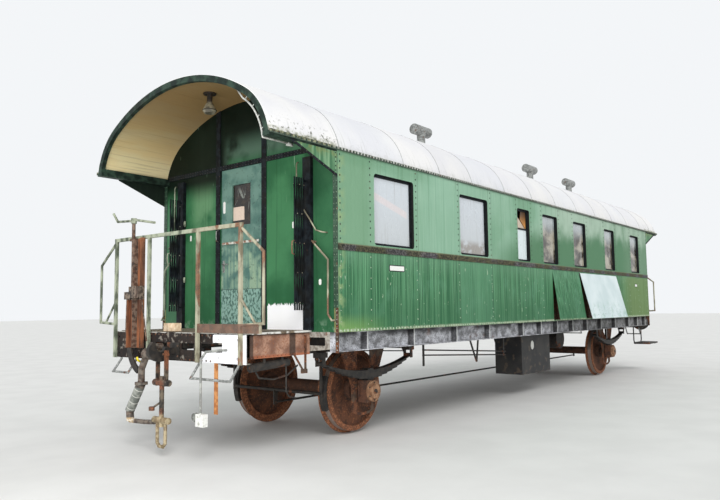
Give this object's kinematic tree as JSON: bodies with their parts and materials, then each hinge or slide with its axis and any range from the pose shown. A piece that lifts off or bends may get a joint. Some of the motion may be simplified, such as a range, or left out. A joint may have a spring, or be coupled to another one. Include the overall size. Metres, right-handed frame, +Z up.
{
  "type": "two-axle open-platform passenger coach",
  "caption": "Two-axle railway passenger coach with open end platforms, arched roof with hoods, hinged end doors and free-turning wheelsets.",
  "frame": {"origin": "on the track's centre line, midway between the two axles, at the lowest point of the wheel flanges", "axes": "+X along the coach away from the hand-brake platform, +Z up, -Y the side shown in the picture"},
  "size_m": [13.5963, 3.321, 4.5679],
  "materials": {
    "green_paint": "matt faded green paint, streaked",
    "dark_green_paint": "dark green paint, satin",
    "teal_paint": "teal door paint, worn low down",
    "black_iron": "black paint over rust",
    "rusty_steel": "rust over old paint",
    "wheel_steel": "rusty cast steel",
    "grey_sill": "grey-white scuffed primer",
    "white_primer": "white primer",
    "pale_blue_primer": "pale blue-white primer",
    "roof_grey": "light grey roof paint",
    "cream_boards": "cream painted boards",
    "weathered_rail": "weathered grey-beige paint, rusty",
    "bare_strip": "bare rough strip",
    "deck_wood": "worn deck boards",
    "interior_wood": "varnished wood",
    "pane_glass": "dirty glass",
    "lamp_glass": "milky glass over a dark flange",
    "pipe_lagging": "grey jointed pipe"
  },
  "bodies": {
    "coach": {"air_reservoir": "black_iron", "axle_boxes": "rusty_steel", "axle_guards": "black_iron", "battery_box": "black_iron", "benches": "interior_wood", "brake_cylinder": "black_iron", "brake_rigging": "rusty_steel", "buffer_pads_near": "white_primer", "buffers_far": "black_iron", "cabin_floor": "deck_wood", "corner_straps": "rusty_steel", "cross_bearers": "black_iron", "door_frames": "black_iron", "draw_gear_sills": "black_iron", "draw_hooks": "black_iron", "drop_pipe_near": "rusty_steel", "end_railings": "weathered_rail", "end_wall_far": "dark_green_paint", "end_wall_near": "dark_green_paint", "folding_gates": "black_iron", "grab_rods": "weathered_rail", "hand_brake_crank": "rusty_steel", "hand_brake_handle": "weathered_rail", "hand_brake_stand": "rusty_steel", "headstocks": "rusty_steel", "hood_gussets": "green_paint", "hood_lamps": "lamp_glass", "hood_trims": "dark_green_paint", "leaf_springs": "rusty_steel", "loose_sheet_green": "green_paint", "loose_sheet_primed": "pale_blue_primer", "main_sills": "black_iron", "outer_sills": "grey_sill", "outriggers": "black_iron", "partitions": "interior_wood", "platform_beams": "rusty_steel", "platform_decks": "deck_wood", "platform_pipes_near": "black_iron", "rain_strips": "roof_grey", "roof_boards": "cream_boards", "roof_skin": "roof_grey", "roof_ventilators": "roof_grey", "screw_couplings": "black_iron", "shunter_handles": "rusty_steel", "side_wall_back": "green_paint", "side_wall_front": "green_paint", "spring_hangers": "black_iron", "steam_coupling_near": "pipe_lagging", "step_bracket_near": "rusty_steel", "steps_far": "deck_wood", "truss_struts": "rusty_steel", "waist_strips": "bare_strip", "window_frames": "black_iron", "window_panes": "pane_glass"},
    "wheelset_near": {"wheelset_near": "wheel_steel"},
    "wheelset_far": {"wheelset_far": "wheel_steel"},
    "end_door_near": {"end_door_near": "teal_paint"},
    "end_door_far": {"end_door_far": "teal_paint"}
  },
  "joints": [
    {"name": "wheelset_near_spin", "type": "hinge", "parent": "coach", "child": "wheelset_near", "pos_m": [-4.25, 0, 0.53], "axis": [0, 1, 0], "continuous": true},
    {"name": "wheelset_far_spin", "type": "hinge", "parent": "coach", "child": "wheelset_far", "pos_m": [4.25, 0, 0.53], "axis": [0, 1, 0], "continuous": true},
    {"name": "end_door_near_hinge", "type": "hinge", "parent": "coach", "child": "end_door_near", "pos_m": [-5.3155, -0.365, 2], "axis": [0, 0, -1], "range_deg": [0, 90]},
    {"name": "end_door_far_hinge", "type": "hinge", "parent": "coach", "child": "end_door_far", "pos_m": [5.4055, 0.365, 2], "axis": [0, 0, -1], "range_deg": [0, 90]}
  ]
}
